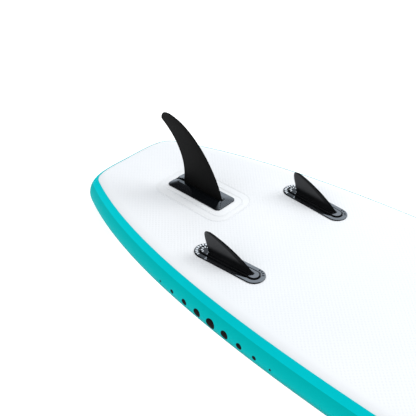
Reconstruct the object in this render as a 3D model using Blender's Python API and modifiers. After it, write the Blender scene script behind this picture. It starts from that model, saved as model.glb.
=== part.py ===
"""Inflatable stand up paddleboard, lying deck down with its hull and fins up.

Frame: +X runs from the tail to the nose, +Z is up, and the origin is under the middle of the
board, on the surface that its tail and nose rest on. Distances along the board are measured
from the tail, so a place x along the board is at x - LENGTH / 2 in the frame.
"""
import bmesh
import bpy
import numpy as np
from math import atan, cos, pi, radians, sin, sqrt
from mathutils import Matrix, Vector

# Driving dimensions, in metres
LENGTH = 3.05
WIDTH = 0.84
THICKNESS = 0.12
SKIN = 0.0012              # thickness of the drop-stitch skins and of the sidewall
TAPE = 0.0012              # thickness of the coloured rail tape
GAP = 0.0003               # running gap between touching pieces
SEAM = 0.0010              # butt joint between two strips of the shell
WIDEST = 1.45              # where the board is widest
FLAT_END = 1.0             # the board is straight from the tail to here
TAIL_SLOPE = 0.05          # rise of the straight part, with the tail and nose on the floor
FIN_TOE = radians(3.6)
SIDE_FIN = (0.69, 0.21)    # centre of a side fin's base: along the board, across it
FIN_BOX = (0.378, 0.232, 0.089)   # centre along the board, length, width
FIN_BOX_TOP = 0.014        # height of the fin box's top over the hull
HANDLE = 1.45
VALVE = 2.76
VALVE_ROOM = 0.05          # space inside the board that is left free for the valve
RING_WIRE = 0.00175        # radius of a D-ring's wire
RING_LIFT = 0.0047         # height of a D-ring's bar over the deck
RING_HALF = 0.0145         # half of a D-ring's width, on the wire's centre line
LEASH_RING = (0.24, 0.0)
TOW_RING = (2.90, 0.0)
CARGO_RINGS = [(2.16, 0.17), (2.16, -0.17), (2.52, 0.17), (2.52, -0.17)]

RADIUS = THICKNESS / 2                 # of the round rail
TAPE_OUT = GAP + TAPE                  # how far the tape stands out from the rail
EDGE = RADIUS + TAPE_OUT               # from the flat panel's edge to the board's outline

for old in list(bpy.data.objects):
    bpy.data.objects.remove(old, do_unlink=True)

parts = bpy.data.collections.new("stand_up_paddleboard")
cutters = bpy.data.collections.new("cutters")
bpy.context.scene.collection.children.link(parts)
bpy.context.scene.collection.children.link(cutters)


def paint(name, colour, roughness, metallic=0.0):
    """A plain material."""
    material = bpy.data.materials.new(name)
    material.use_nodes = True
    surface = material.node_tree.nodes["Principled BSDF"]
    surface.inputs["Base Color"].default_value = (*colour, 1.0)
    surface.inputs["Roughness"].default_value = roughness
    surface.inputs["Metallic"].default_value = metallic
    material.diffuse_color = (*colour, 1.0)
    return material


HULL_WHITE = paint("hull_white", (0.90, 0.91, 0.94), 0.5)
DECK_WHITE = paint("deck_white", (0.86, 0.87, 0.88), 0.5)
SIDE_TEAL = paint("side_teal", (0.02, 0.40, 0.42), 0.5)
RAIL_TEAL = paint("rail_teal", (0.0, 0.55, 0.58), 0.4)
YARN = paint("yarn", (0.8, 0.8, 0.78), 0.8)
PATCH_WHITE = paint("patch_white", (0.88, 0.89, 0.91), 0.45)
PATCH_GREY = paint("patch_grey", (0.30, 0.31, 0.33), 0.55)
FIN_BLACK = paint("fin_black", (0.02, 0.02, 0.022), 0.35)
BOX_BLACK = paint("box_black", (0.015, 0.015, 0.018), 0.2)
PAD_GREY = paint("pad_grey", (0.20, 0.22, 0.24), 0.85)
WEBBING = paint("webbing", (0.03, 0.03, 0.035), 0.8)
FOAM = paint("foam", (0.05, 0.05, 0.055), 0.75)
STEEL = paint("steel", (0.62, 0.63, 0.65), 0.25, 1.0)
VALVE_GREY = paint("valve_grey", (0.10, 0.10, 0.11), 0.4)
SEAL = paint("seal", (0.03, 0.03, 0.03), 0.7)


# The board's shape

def bezier(p0, p1, p2, p3, count):
    """Points on a cubic curve."""
    t = np.linspace(0, 1, count)[:, None]
    p0, p1, p2, p3 = (np.array(p, float) for p in (p0, p1, p2, p3))
    return (1 - t) ** 3 * p0 + 3 * (1 - t) ** 2 * t * p1 + 3 * (1 - t) * t ** 2 * p2 + t ** 3 * p3


def panel_outline(count):
    """The left half of the flat panel's edge, from the tail's middle to the nose's middle.

    The tail is square with rounded corners, the side is one long curve, and the nose is a
    rounded point. Gives points, closer together where the edge turns, and the direction that
    points away from the board at each.
    """
    corner = np.array([0.0823, 0.1530])
    turn = 0.456
    along = np.array([cos(turn), sin(turn)])
    half = WIDTH / 2 - EDGE
    nose_end = LENGTH - EDGE
    tail = bezier((EDGE, 0), (EDGE, 0.055), corner - 0.029 * along, corner, 200)
    side = bezier(corner, corner + 0.354 * along, (WIDEST - 0.546, half), (WIDEST, half), 800)
    nose = bezier((WIDEST, half), (WIDEST + 0.62, half), (nose_end, 0.20), (nose_end, 0), 800)
    curve = np.concatenate([tail, side[1:], nose[1:]])
    heading = np.gradient(curve, axis=0)
    heading[0] = (0, 1)
    heading[-1] = (0, -1)
    angle = np.unwrap(np.arctan2(heading[:, 1], heading[:, 0]))
    length = np.linalg.norm(np.diff(curve, axis=0), axis=1)
    turning = np.abs(np.diff(angle))
    effort = np.concatenate([[0], np.cumsum(length / 0.12 + turning / radians(11))])
    even = np.linspace(0, effort[-1], count)
    angle = np.interp(even, effort, angle)
    points = np.stack([np.interp(even, effort, curve[:, k]) for k in range(2)], axis=1)
    return points, np.stack([-np.sin(angle), np.cos(angle)], axis=1)


OUTLINE, OUTWARD = panel_outline(43)


def lowest_at_tail():
    """Height of the rail's lowest point at the tail, before the board is set on the floor."""
    return TAIL_SLOPE * EDGE + RADIUS * (1 - sqrt(1 + TAIL_SLOPE ** 2))


def nose_bend():
    """How strongly the nose bends down, so that it touches the floor that the tail touches."""
    low, high = 0.0, 0.1
    run = LENGTH - EDGE - FLAT_END
    for _ in range(60):
        bend = (low + high) / 2
        slope = TAIL_SLOPE - 3 * bend * run ** 2
        height = TAIL_SLOPE * (LENGTH - EDGE) - bend * run ** 3
        height += RADIUS * (1 - sqrt(1 + slope ** 2))
        if height > lowest_at_tail():
            low = bend
        else:
            high = bend
    return bend


NOSE_BEND = nose_bend()


def deck_height(x):
    """Height of the deck over the floor, at x along the board."""
    past = np.maximum(0, x - FLAT_END)
    return TAIL_SLOPE * x - NOSE_BEND * past ** 3 - lowest_at_tail()


def deck_slope(x):
    """Slope of the deck at x along the board."""
    return TAIL_SLOPE - 3 * NOSE_BEND * max(0, x - FLAT_END) ** 2


def rail_point(station, angle, radius, side):
    """A point on the round rail: angle 0 is at the hull, 180 at the deck."""
    reach = radius * sin(radians(angle))
    x, y = OUTLINE[station] + OUTWARD[station] * reach
    z = RADIUS + radius * cos(radians(angle)) + deck_height(x)
    return Vector((x - LENGTH / 2, side * max(y, SEAM / 2), z))


# Helpers for making pieces

def keep(name, mesh, material, parent=None):
    """Put a mesh in the scene as one part."""
    mesh.materials.append(material)
    obj = bpy.data.objects.new(name, mesh)
    parts.objects.link(obj)
    obj.parent = parent
    return obj


def mesh_from(bm, name, smooth=40):
    """A mesh from a bmesh, shaded smooth over its gentle edges."""
    mesh = bpy.data.meshes.new(name)
    bm.to_mesh(mesh)
    bm.free()
    mesh.shade_smooth()
    mesh.set_sharp_from_angle(angle=radians(smooth))
    return mesh


def thicken(obj, thickness, offset=-1.0):
    """Give an open surface its thickness, inwards unless told otherwise."""
    solid = obj.modifiers.new("thickness", "SOLIDIFY")
    solid.thickness = thickness
    solid.offset = offset
    solid.use_even_offset = True
    return obj


def cut(obj, cutter_mesh, parent=None, place=None):
    """Cut a hole with a mesh that is kept as a hidden wire cutter."""
    cutter = bpy.data.objects.new(obj.name + "_cutter", cutter_mesh)
    cutters.objects.link(cutter)
    cutter.parent = parent
    if place is not None:
        cutter.matrix_local = place
    cutter.hide_render = True
    cutter.display_type = "WIRE"
    hole = obj.modifiers.new("cut", "BOOLEAN")
    hole.operation = "DIFFERENCE"
    hole.solver = "EXACT"
    hole.object = cutter
    return obj


def join(obj, other):
    """Weld a second solid onto a piece."""
    weld = obj.modifiers.new("weld", "BOOLEAN")
    weld.operation = "UNION"
    weld.solver = "EXACT"
    weld.object = other
    other.hide_render = True
    other.display_type = "WIRE"
    return obj


def helper(name, mesh, parent):
    """A solid that is only welded onto another."""
    obj = bpy.data.objects.new(name, mesh)
    cutters.objects.link(obj)
    obj.parent = parent
    return obj


def point_away_from_core(bm):
    """Turn an open shell's faces away from the board's middle line."""
    bmesh.ops.recalc_face_normals(bm, faces=bm.faces)
    total = 0.0
    for face in bm.faces:
        middle = face.calc_center_median()
        x = min(max(middle.x, 0.1 - LENGTH / 2), LENGTH / 2 - 0.1)
        core = Vector((x, 0, deck_height(x + LENGTH / 2) + RADIUS))
        total += face.normal.dot(middle - core) * face.calc_area()
    if total < 0:
        bmesh.ops.reverse_faces(bm, faces=bm.faces)


def add_grid(bm, rows):
    """Join rows of vertices into a strip of quads."""
    for a, b in zip(rows, rows[1:]):
        for k in range(len(a) - 1):
            bm.faces.new((a[k], a[k + 1], b[k + 1], b[k]))


def add_prism(bm, outline, low, high, place=Matrix.Identity(4), inset=0.0, skirt=0.0):
    """A flat outline with a thickness; inset narrows its top, above an upright skirt."""
    start = [bm.verts.new((x, y, low)) for x, y in outline]
    face = bm.faces.new(start)
    levels = [(skirt, 0.0), (high - low - skirt, inset)] if inset else [(high - low, 0.0)]
    made = list(start)
    for rise, draw_in in levels:
        out = bmesh.ops.extrude_face_region(bm, geom=[face], use_keep_orig=not inset or face.is_wire)
        verts = [v for v in out["geom"] if isinstance(v, bmesh.types.BMVert)]
        made += verts
        bmesh.ops.translate(bm, verts=verts, vec=(0, 0, rise))
        face = next(f for f in out["geom"] if isinstance(f, bmesh.types.BMFace))
    bmesh.ops.transform(bm, matrix=place, verts=made)
    return made


def rounded_rectangle(length, width, radius, corner=4, middle=(0.0, 0.0), turn=0.0):
    """Outline of a rectangle with round corners, anticlockwise."""
    points = []
    for k, (sx, sy) in enumerate([(1, 1), (-1, 1), (-1, -1), (1, -1)]):
        cx = sx * (length / 2 - radius)
        cy = sy * (width / 2 - radius)
        for j in range(corner + 1):
            angle = (k + j / corner) * pi / 2
            points.append((cx + radius * cos(angle), cy + radius * sin(angle)))
    c, s = cos(turn), sin(turn)
    return [(middle[0] + c * x - s * y, middle[1] + s * x + c * y) for x, y in points]


def layered(name, layers, material, parent=None, place=None):
    """A solid through a stack of like outlines, each given as (outline, height)."""
    bm = bmesh.new()
    rings = [[bm.verts.new((x, y, z)) for x, y in outline] for outline, z in layers]
    for a, b in zip(rings, rings[1:]):
        for k in range(len(a)):
            j = (k + 1) % len(a)
            bm.faces.new((a[k], a[j], b[j], b[k]))
    bm.faces.new(reversed(rings[0]))
    bm.faces.new(rings[-1])
    if place is not None:
        bmesh.ops.transform(bm, matrix=place, verts=bm.verts)
    bmesh.ops.recalc_face_normals(bm, faces=bm.faces)
    return keep(name, mesh_from(bm, name), material, parent)


def plate(name, outline, low, high, material, parent=None):
    """A flat sheet cut to an outline."""
    return layered(name, [(outline, low), (outline, high)], material, parent)


def turned_mesh(name, profile, steps=24):
    """A closed profile of (radius, height) spun about Z; it runs down its outer side."""
    bm = bmesh.new()
    verts = [bm.verts.new((r, 0, z)) for r, z in profile]
    edges = [bm.edges.new(pair) for pair in zip(verts, verts[1:])]
    if min(r for r, _ in profile) > 0:
        edges.append(bm.edges.new((verts[-1], verts[0])))
    bmesh.ops.spin(bm, geom=verts + edges, cent=(0, 0, 0), axis=(0, 0, 1), angle=2 * pi,
                   steps=steps, use_merge=True)
    bmesh.ops.remove_doubles(bm, verts=bm.verts, dist=1e-6)
    bmesh.ops.recalc_face_normals(bm, faces=bm.faces)
    return mesh_from(bm, name)


def turned(name, profile, material, parent=None, steps=24):
    """A turned piece."""
    return keep(name, turned_mesh(name, profile, steps), material, parent)


def empty(name, x, y, z, slope, over=False, turn=0.0):
    """A guide that carries pieces: on the hull, or on the deck when turned over."""
    guide = bpy.data.objects.new(name, None)
    parts.objects.link(guide)
    lean = Matrix.Rotation(-atan(slope), 4, "Y")
    flip = Matrix.Rotation(pi if over else 0, 4, "X")
    spin = Matrix.Rotation(turn, 4, "Z")
    guide.matrix_world = Matrix.Translation((x - LENGTH / 2, y, z)) @ lean @ flip @ spin
    return guide


def on_deck(name, x, y=0.0, turn=0.0):
    """A guide on the deck, with its +Z out of the deck."""
    return empty(name, x, y, float(deck_height(x)), deck_slope(x), over=True, turn=turn)


# Hull and deck skins, sidewalls and rail tape

def add_rail(bm, rows):
    """Faces between stations of a rail, all split along the same diagonal."""
    for a, b in zip(rows, rows[1:]):
        for k in range(len(a) - 1):
            for corners in ((a[k], b[k], b[k + 1]), (a[k], b[k + 1], a[k + 1])):
                if len(set(corners)) == 3:
                    bm.faces.new(corners)


def skin(name, angles, flat, material):
    """A flat drop-stitch skin with its lip rolled round the rail on both sides."""
    bm = bmesh.new()
    last = len(OUTLINE) - 1
    sides = {}
    for side in (1, -1):
        rows = []
        for station in range(last + 1):
            if side < 0 and station in (0, last):
                rows.append(sides[1][station])
                continue
            row = [rail_point(station, angle, RADIUS, side) for angle in angles]
            if station in (0, last):
                for place in row:
                    place.y = 0
            rows.append([bm.verts.new(place) for place in row])
        add_rail(bm, rows)
        sides[side] = rows
    edge = {side: [row[flat] for row in rows] for side, rows in sides.items()}
    for k in range(last):
        ladder = (edge[1][k], edge[1][k + 1], edge[-1][k + 1], edge[-1][k])
        corners = list(dict.fromkeys(ladder))
        bm.faces.new(corners)
    point_away_from_core(bm)
    return thicken(keep(name, mesh_from(bm, name), material), SKIN)


def rail_strip(name, angles, radius, thickness, side, material):
    """One side's strip of the rail, from the tail's middle to the nose's middle."""
    bm = bmesh.new()
    rows = [[bm.verts.new(rail_point(k, angle, radius, side)) for angle in angles]
            for k in range(len(OUTLINE))]
    add_rail(bm, rows)
    point_away_from_core(bm)
    return thicken(keep(name, mesh_from(bm, name), material), thickness)


butt = np.degrees(SEAM / 2 / RADIUS)
hull_skin = skin("hull_skin", [0, 15, 30, 45 - butt], 0, HULL_WHITE)
deck_skin = skin("deck_skin", [135 + butt, 150, 165, 180], -1, DECK_WHITE)
SIDES = {"left": 1, "right": -1}
for side_name, side in SIDES.items():
    rail_strip("sidewall_" + side_name, [45 + butt, 67.5, 90, 112.5, 135 - butt],
               RADIUS, SKIN, side, SIDE_TEAL)
    rail_strip("rail_tape_" + side_name, [30, 45, 67.5, 90, 112.5, 135, 150],
               RADIUS + TAPE_OUT, TAPE, side, RAIL_TEAL)


def panel_half_width(x):
    """Half width of the flat panel at x along the board."""
    return float(np.interp(x, OUTLINE[:, 0], OUTLINE[:, 1], left=0, right=0))


def drop_stitch_core(name, pitch, radius):
    """Upright yarns tied into a backing cloth, which hold the skins the same distance apart."""
    margin = 0.03
    low = SKIN + GAP
    cloth = bmesh.new()
    rows = []
    for x in np.linspace(0.12, LENGTH - 0.12, 25):
        z = float(deck_height(x)) + THICKNESS - 2 * low
        reach = panel_half_width(x) - margin
        rows.append([cloth.verts.new((x - LENGTH / 2, y, z)) for y in (-reach, reach)])
    add_grid(cloth, rows)
    bmesh.ops.recalc_face_normals(cloth, faces=cloth.faces)
    if sum(face.normal.z for face in cloth.faces) < 0:
        bmesh.ops.reverse_faces(cloth, faces=cloth.faces)
    core = thicken(keep(name, mesh_from(cloth, name), YARN), 0.0006)
    yarns = bmesh.new()
    outline = [(radius * cos(a), radius * sin(a)) for a in (0, 2 * pi / 3, 4 * pi / 3)]
    for i in range(1, int(LENGTH / pitch)):
        x = (i + 0.5) * pitch
        reach = panel_half_width(x) - 2 * margin
        for j in range(-int(reach / pitch), int(reach / pitch) + 1):
            if abs(x - VALVE) < VALVE_ROOM and j == 0:
                continue
            foot = Vector((x - LENGTH / 2, j * pitch, float(deck_height(x))))
            add_prism(yarns, outline, 2 * low, THICKNESS - 2 * low - 0.0003, Matrix.Translation(foot))
    bmesh.ops.recalc_face_normals(yarns, faces=yarns.faces)
    return join(core, helper("yarns", mesh_from(yarns, "yarns"), None))


drop_stitch_core("drop_stitch_core", 0.14, 0.0015)


# Deck pads: foam sheets bonded to the deck

PAD = 0.004
PAD_MARGIN = 0.035


def pad(name, start, end, inner, count, side=0):
    """A foam sheet from start to end, out to the rail's flat edge; side 0 is full width."""
    bm = bmesh.new()
    rows = []
    for x in np.linspace(start, end, count):
        outer = panel_half_width(x) - PAD_MARGIN
        edges = (-outer, outer) if side == 0 else (side * inner(x), side * outer)
        z = float(deck_height(x)) - GAP
        rows.append([bm.verts.new((x - LENGTH / 2, y, z)) for y in edges])
    add_grid(bm, rows)
    bmesh.ops.recalc_face_normals(bm, faces=bm.faces)
    if sum(face.normal.z for face in bm.faces) > 0:
        bmesh.ops.reverse_faces(bm, faces=bm.faces)
    return thicken(keep(name, mesh_from(bm, name), PAD_GREY), PAD, offset=1.0)


def round_the_handle(x):
    """Inner edge of the middle pads: a groove, widening round the handle."""
    groove, room, half = 0.002, 0.085, 0.24
    t = min(1.0, abs(x - HANDLE) / half)
    return groove + room * sqrt(max(0.0, 1 - t ** 4))


pad("rear_pad", 0.32, FLAT_END - 0.001, None, 9)
for side_name, side in SIDES.items():
    pad("middle_pad_" + side_name, FLAT_END + 0.002, 1.90, round_the_handle, 31, side)
pad("front_pad", 1.903, 2.08, None, 4)


# Fin box, fins and their patches, on the straight part of the hull

hull_plane = empty("hull_plane", 0.0, 0.0, float(deck_height(0.0)) + THICKNESS, TAIL_SLOPE)
box_x, box_length, box_width = FIN_BOX
PATCH = 0.0008

outer_patch = rounded_rectangle(0.317, 0.188, 0.030, middle=(0.3865, 0))
inner_patch = rounded_rectangle(0.275, 0.132, 0.020, middle=(0.3875, 0))
plate("fin_box_outer_patch", outer_patch, GAP, GAP + PATCH, PATCH_WHITE, hull_plane)
plate("fin_box_inner_patch", inner_patch, 2 * GAP + PATCH, 2 * (GAP + PATCH), PATCH_WHITE, hull_plane)

BOX_BOTTOM = 3 * GAP + 2 * PATCH
BOX_SKIRT = 0.0035
BOX_DRAFT = 0.005
NECK = 0.0055              # half width of the fin's neck
FLANGE = 0.0110            # half width of the flange at the fin's foot
FLANGE_LOW = 0.0043
FLANGE_HIGH = 0.0077
FOOT = (0.299, 0.4745)     # the foot's rear and front ends
BUTTON = (0.288, -0.0145)  # the lock button's place on the box
BUTTON_RADIUS = 0.0040
BUTTON_BORE = 0.0088       # height of the bottom of the button's bore

base = rounded_rectangle(box_length, box_width, 0.014, middle=(box_x, 0))
top = rounded_rectangle(box_length - 2 * BOX_DRAFT, box_width - 2 * BOX_DRAFT, 0.010, middle=(box_x, 0))
fin_box = layered("fin_box", [(base, BOX_BOTTOM), (base, BOX_BOTTOM + BOX_SKIRT), (top, FIN_BOX_TOP)],
                  BOX_BLACK, hull_plane)


def tee(half_neck, half_flange, low, step, high):
    """Outline of an upside-down T, across the board: (y, z)."""
    return [(-half_flange, low), (half_flange, low), (half_flange, step), (half_neck, step),
            (half_neck, high), (-half_neck, high), (-half_neck, step), (-half_flange, step)]


def bar(name, outline, start, end):
    """A (y, z) outline drawn out along the board."""
    bm = bmesh.new()
    face = bm.faces.new([bm.verts.new((start, y, z)) for y, z in outline])
    out = bmesh.ops.extrude_face_region(bm, geom=[face])
    verts = [v for v in out["geom"] if isinstance(v, bmesh.types.BMVert)]
    bmesh.ops.translate(bm, verts=verts, vec=(end - start, 0, 0))
    bmesh.ops.recalc_face_normals(bm, faces=bm.faces)
    return mesh_from(bm, name)


slot = tee(NECK + GAP, FLANGE + GAP, FLANGE_LOW - GAP, FLANGE_HIGH + GAP, FIN_BOX_TOP + 0.01)
cut(fin_box, bar("slot", slot, box_x - box_length, FOOT[1] + GAP), hull_plane)
bore = turned_mesh("bore", [(0, 0.01), (BUTTON_RADIUS + GAP, 0.01), (BUTTON_RADIUS + GAP, 0), (0, 0)], 16)
cut(fin_box, bore, hull_plane, Matrix.Translation((*BUTTON, BUTTON_BORE)))
drain = turned_mesh("drain", [(0, 0.01), (0.0025, 0.01), (0.0025, 0), (0, 0)], 12)
cut(fin_box, drain, hull_plane, Matrix.Translation((0.4765, 0.012, 0.0095)))


def half_thickness(share):
    """Half thickness of a symmetric foil along its chord, with 1 at its thickest."""
    root, one, two, three, four = 0.2969, -0.1260, -0.3516, 0.2843, -0.1036
    return 10 * (root * sqrt(share) + one * share + two * share ** 2
                 + three * share ** 3 + four * share ** 4)


def blade(bm, front, rear, levels, thickness):
    """A fin blade: foil sections between its front and rear edges, each a list of (x, z)."""
    front = np.array(sorted(front, key=lambda p: p[1]))
    rear = np.array(sorted(rear, key=lambda p: p[1]))
    shares = [(1 - cos(a)) / 2 for a in np.linspace(0, pi, 9)]
    rings = []
    for z in levels:
        nose = np.interp(z, front[:, 1], front[:, 0])
        tail = np.interp(z, rear[:, 1], rear[:, 0])
        chord = max(nose - tail, 0.004)
        half = thickness(z) / 2
        near = [(nose - chord * u, half * half_thickness(u)) for u in shares]
        far = [(x, -y) for x, y in near[-2:0:-1]]
        rings.append([bm.verts.new((x, y, z)) for x, y in near + far])
    for a, b in zip(rings, rings[1:]):
        for k in range(len(a)):
            j = (k + 1) % len(a)
            bm.faces.new((a[k], a[j], b[j], b[k]))
    bm.faces.new(rings[0])
    bm.faces.new(rings[-1])
    bmesh.ops.recalc_face_normals(bm, faces=bm.faces)


def centre_fin():
    """The long raked centre fin, with the foot that slides in the fin box."""
    front = bezier((0.472, 0.013), (0.451, 0.104), (0.349, 0.2375), (0.238, 0.246), 24)
    rear = bezier((0.2995, 0.013), (0.324, 0.166), (0.167, 0.228), (0.198, 0.219), 24)
    rear = np.concatenate([rear[rear[:, 1] < 0.216],
                           bezier((0.200, 0.217), (0.200, 0.236), (0.214, 0.246), (0.230, 0.246), 8)])
    tip = 0.246
    levels = [0.0135, 0.03, 0.055, 0.085, 0.115, 0.145, 0.17, 0.192, 0.21, 0.224, 0.235, 0.242, tip - 0.0005]
    bm = bmesh.new()
    blade(bm, front, rear, levels, lambda z: 0.0022 + 0.0072 * sqrt(max(0.0, 1 - z / tip)))
    foot = tee(NECK, FLANGE, FLANGE_LOW, FLANGE_HIGH, FIN_BOX_TOP)
    fin = keep("center_fin", bar("center_fin", foot, *FOOT), FIN_BLACK, hull_plane)
    return join(fin, helper("center_fin_blade", mesh_from(bm, "center_fin_blade"), hull_plane))


centre_fin()

button_guide = bpy.data.objects.new("button_axis", None)
parts.objects.link(button_guide)
button_guide.parent = hull_plane
button_guide.location = (*BUTTON, 0)
BUTTON_LOW = BUTTON_BORE + 0.0026
SPRING_HIGH = BUTTON_LOW - GAP
turned("fin_lock_button", [(0, 0.0152), (0.0028, 0.0150), (BUTTON_RADIUS, 0.0142),
                           (BUTTON_RADIUS, BUTTON_LOW), (0, BUTTON_LOW)], BOX_BLACK, button_guide, 16)


def spring(name, radius, wire, low, high, turns, parent):
    """A coil spring between two heights, as a round wire wound about Z."""
    per_turn = 12
    count = int(turns * per_turn) + 1
    curve = bpy.data.curves.new(name, "CURVE")
    curve.dimensions = "3D"
    curve.bevel_depth = wire
    curve.bevel_resolution = 1
    curve.use_fill_caps = True
    line = curve.splines.new("POLY")
    line.points.add(count - 1)
    for k in range(count):
        angle = 2 * pi * k / per_turn
        z = low + wire + (high - low - 2 * wire) * k / (count - 1)
        line.points[k].co = (radius * cos(angle), radius * sin(angle), z, 1)
    return keep(name, curve, STEEL, parent)


spring("fin_lock_spring", 0.0027, 0.00016, BUTTON_BORE + GAP, SPRING_HIGH, 2.5, button_guide)


def side_fin(side_name, side):
    """A flexible side fin: a bonded flange round it, and the blade on its oval foot."""
    guide = bpy.data.objects.new("side_fin_axis_" + side_name, None)
    parts.objects.link(guide)
    guide.parent = hull_plane
    guide.location = (SIDE_FIN[0], side * SIDE_FIN[1], 0)
    guide.rotation_euler.z = -side * FIN_TOE
    length, width = 0.250, 0.071
    ring, hole, foot, pedestal = (rounded_rectangle(length - 2 * d, width - 2 * d, width / 2 - d, 6)
                                  for d in (0.0, 0.0135, 0.0145, 0.0215))
    brim = rounded_rectangle(length - 0.004, width - 0.004, width / 2 - 0.002, 6)
    flange = layered("side_fin_flange_" + side_name, [(ring, GAP), (ring, 0.0022), (brim, 0.0034)],
                     BOX_BLACK, guide)
    bm = bmesh.new()
    add_prism(bm, hole, -0.01, 0.02)
    bmesh.ops.recalc_face_normals(bm, faces=bm.faces)
    cut(flange, mesh_from(bm, "hole"), guide)
    fin = layered("side_fin_" + side_name, [(foot, GAP), (foot, 0.0042), (pedestal, 0.0072)],
                  FIN_BLACK, guide)
    front = bezier((0.092, 0.006), (0.073, 0.024), (0.010, 0.066), (-0.073, 0.079), 20)
    rear = bezier((-0.079, 0.006), (-0.086, 0.036), (-0.096, 0.052), (-0.0945, 0.068), 12)
    rear = np.concatenate([rear, bezier((-0.0945, 0.0685), (-0.094, 0.075), (-0.088, 0.079),
                                        (-0.080, 0.079), 6)])
    bm = bmesh.new()
    levels = [0.0065, 0.012, 0.022, 0.034, 0.046, 0.056, 0.065, 0.072, 0.0765, 0.0788]
    blade(bm, front, rear, levels, lambda z: 0.0018 + 0.0062 * sqrt(max(0.0, 1 - z / 0.079)))
    join(fin, helper("side_fin_blade_" + side_name, mesh_from(bm, "side_fin_blade"), guide))


for side_name, side in SIDES.items():
    side_fin(side_name, side)


# D-rings on the deck: patch, folded webbing loop and steel ring

def circle(radius, count=20):
    """Outline of a disc."""
    return [(radius * cos(2 * pi * k / count), radius * sin(2 * pi * k / count)) for k in range(count)]


def ribbon(bm, path, width, place, thickness):
    """A band of webbing: an (x, z) path drawn out across, thickened by half each way."""
    path = [Vector((x, 0, z)) for x, z in path]
    sides = []
    for k, point in enumerate(path):
        before = path[max(k - 1, 0)]
        after = path[min(k + 1, len(path) - 1)]
        along = (after - before).normalized()
        sides.append(Vector((-along.z, 0, along.x)) * thickness / 2)
    rings = []
    for point, out in zip(path, sides):
        corners = [point + out, point + out, point - out, point - out]
        ring = [bm.verts.new(c + Vector((0, y, 0)))
                for c, y in zip(corners, (-width / 2, width / 2, width / 2, -width / 2))]
        rings.append(ring)
    for a, b in zip(rings, rings[1:]):
        for k in range(4):
            j = (k + 1) % 4
            bm.faces.new((a[k], a[j], b[j], b[k]))
    bm.faces.new(rings[0])
    bm.faces.new(rings[-1])
    bmesh.ops.transform(bm, matrix=place, verts=[v for ring in rings for v in ring])


LOOP_BAND = 0.0011
LOOP_WIDTH = 0.022


def loop_path():
    """Webbing folded round the ring's bar and sewn back on itself."""
    reach = RING_WIRE + 0.0003 + LOOP_BAND / 2
    path = [(0.024, RING_LIFT - reach), (0.012, RING_LIFT - reach)]
    for k in range(9):
        angle = -pi / 2 - k * pi / 8
        path.append((reach * cos(angle), RING_LIFT + reach * sin(angle)))
    return path + [(0.0075, 0.0045), (0.010, 0.0039), (0.024, 0.0039)]


def ring_set(name, site, turn, hang=0.0):
    """A D-ring with its patch and its loop of webbing; hang turns the ring on its bar."""
    guide = on_deck(name + "_site", *site, turn)
    plate(name + "_patch", circle(0.030), 0.0004, 0.0012, PATCH_GREY, guide)
    bm = bmesh.new()
    ribbon(bm, loop_path(), LOOP_WIDTH, Matrix.Identity(4), LOOP_BAND)
    bmesh.ops.recalc_face_normals(bm, faces=bm.faces)
    keep(name + "_loop", mesh_from(bm, name + "_loop"), WEBBING, guide)
    ring(name, guide).rotation_euler.y = hang


def ring(name, guide):
    """A steel D-ring, with its origin on its bar."""
    curve = bpy.data.curves.new(name, "CURVE")
    curve.dimensions = "3D"
    curve.bevel_depth = RING_WIRE
    curve.bevel_resolution = 1
    bend = 10
    corner = 0.0020
    points = [(0, corner - RING_HALF), (0, RING_HALF - corner), (-corner, RING_HALF)]
    for k in range(bend + 1):
        angle = pi / 2 + pi * k / bend
        points.append((-0.0065 + RING_HALF * cos(angle), RING_HALF * sin(angle)))
    points.append((-corner, -RING_HALF))
    line = curve.splines.new("POLY")
    line.points.add(len(points) - 1)
    line.use_cyclic_u = True
    for point, (x, y) in zip(line.points, points):
        point.co = (x, y, 0, 1)
    obj = keep(name, curve, STEEL, guide)
    obj.location.z = RING_LIFT
    return obj


ring_set("leash_ring", LEASH_RING, 0.0)
ring_set("tow_ring", TOW_RING, pi)
for number, site in enumerate(CARGO_RINGS, start=1):
    ring_set(f"cargo_ring_{number}", site, pi, hang=pi / 2)


# Carry handle at the board's middle

handle_guide = on_deck("handle_site", HANDLE)
HANDLE_REACH = 0.135
STRAP = 0.0024
STRAP_WIDTH = 0.038
GRIP_HEIGHT = 0.042
for end_name, end in (("rear", -1), ("front", 1)):
    patch_guide = on_deck("handle_patch_site_" + end_name, HANDLE + end * HANDLE_REACH)
    plate("handle_patch_" + end_name, rounded_rectangle(0.085, 0.070, 0.014), 0.0004, 0.0016,
          PATCH_GREY, patch_guide)


def strap_path():
    """The strap's line from patch to patch, over the grip."""
    foot = 0.0037
    half = [(0.168, foot), (0.125, foot), (0.112, 0.0055), (0.082, 0.034), (0.072, 0.0405),
            (0.062, GRIP_HEIGHT)]
    return half + [(-x, z) for x, z in reversed(half)]


bm = bmesh.new()
ribbon(bm, strap_path(), STRAP_WIDTH, Matrix.Identity(4), STRAP)
bmesh.ops.recalc_face_normals(bm, faces=bm.faces)
keep("handle_strap", mesh_from(bm, "handle_strap"), WEBBING, handle_guide)

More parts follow.
